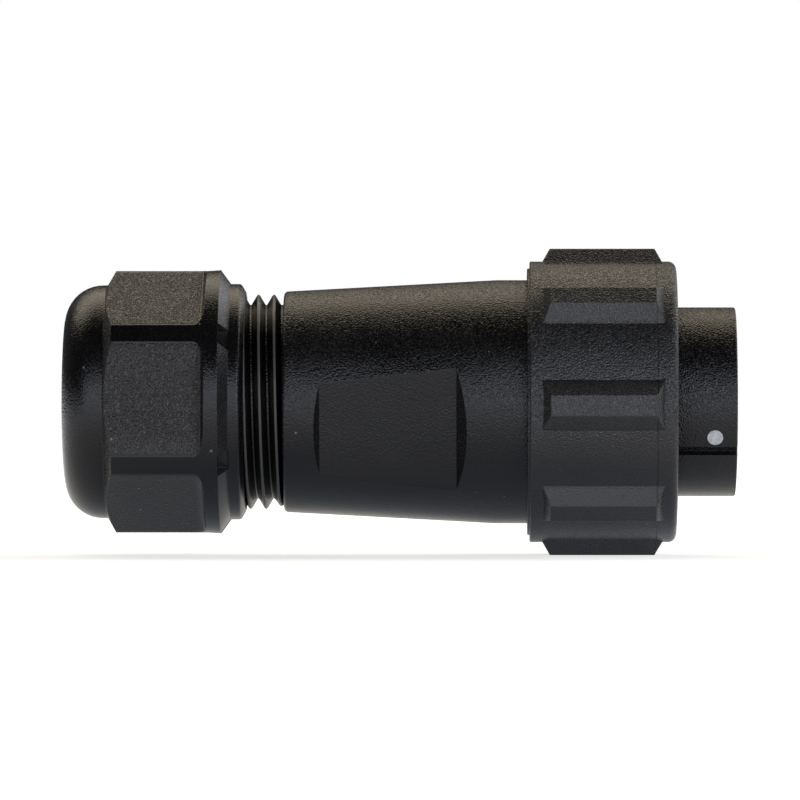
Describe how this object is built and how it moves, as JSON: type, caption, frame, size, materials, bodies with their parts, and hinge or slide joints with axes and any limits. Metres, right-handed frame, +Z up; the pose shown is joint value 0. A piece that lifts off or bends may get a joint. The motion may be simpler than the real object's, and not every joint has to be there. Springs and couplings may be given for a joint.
{
  "type": "inline socket connector",
  "caption": "Straight round inline cable connector with female contacts in a keyed barrel, a ribbed screw coupling ring, a tapered back shell and a hexagon cable gland.",
  "frame": {"origin": "centre of the barrel's front rim, on the connector's axis", "axes": "+X along the axis, out of the mating face; +Z up; the picture looks along +Y"},
  "size_m": [0.0646, 0.0296, 0.0296],
  "materials": {
    "housing_plastic": "black glass-filled nylon with a fine moulded grain",
    "claw_plastic": "smooth black nylon",
    "insert_plastic": "smooth dark grey thermoplastic",
    "seal_rubber": "smooth black rubber",
    "contact_metal": "turned and gold flashed",
    "screw_metal": "bright zinc plate",
    "dot_paint": "flat white paint"
  },
  "bodies": {
    "shell": {"back_shell": "housing_plastic", "front_barrel": "housing_plastic", "spigot_o_ring": "seal_rubber", "face_gasket": "seal_rubber", "insert_gasket": "seal_rubber", "socket_insert": "insert_plastic", "insert_retaining_ring": "claw_plastic", "index_dot": "dot_paint", "socket_contact_1": "contact_metal", "terminal_screw_1": "screw_metal", "socket_contact_2": "contact_metal", "terminal_screw_2": "screw_metal", "socket_contact_3": "contact_metal", "terminal_screw_3": "screw_metal", "socket_contact_4": "contact_metal", "terminal_screw_4": "screw_metal", "socket_contact_5": "contact_metal", "terminal_screw_5": "screw_metal"},
    "ring": {"coupling_ring": "housing_plastic"},
    "clamp": {"clamping_claw": "claw_plastic", "cable_seal": "seal_rubber"},
    "nut": {"gland_nut": "housing_plastic"}
  },
  "joints": [
    {"name": "coupling_ring_turn", "type": "hinge", "parent": "shell", "child": "ring", "pos_m": [-0.0128, 0, 0], "axis": [1, 0, 0], "continuous": true},
    {"name": "gland_slide", "type": "slide", "parent": "shell", "child": "clamp", "axis": [1, 0, 0], "range_m": [-0.00975, 0]},
    {"name": "gland_nut_turn", "type": "hinge", "parent": "clamp", "child": "nut", "pos_m": [-0.056, 0, 0], "axis": [1, 0, 0], "range_deg": [-2340, 0]}
  ],
  "couplings": [
    {"joint": "gland_slide", "follows": "gland_nut_turn", "m_per_rad": 0.00023873}
  ]
}
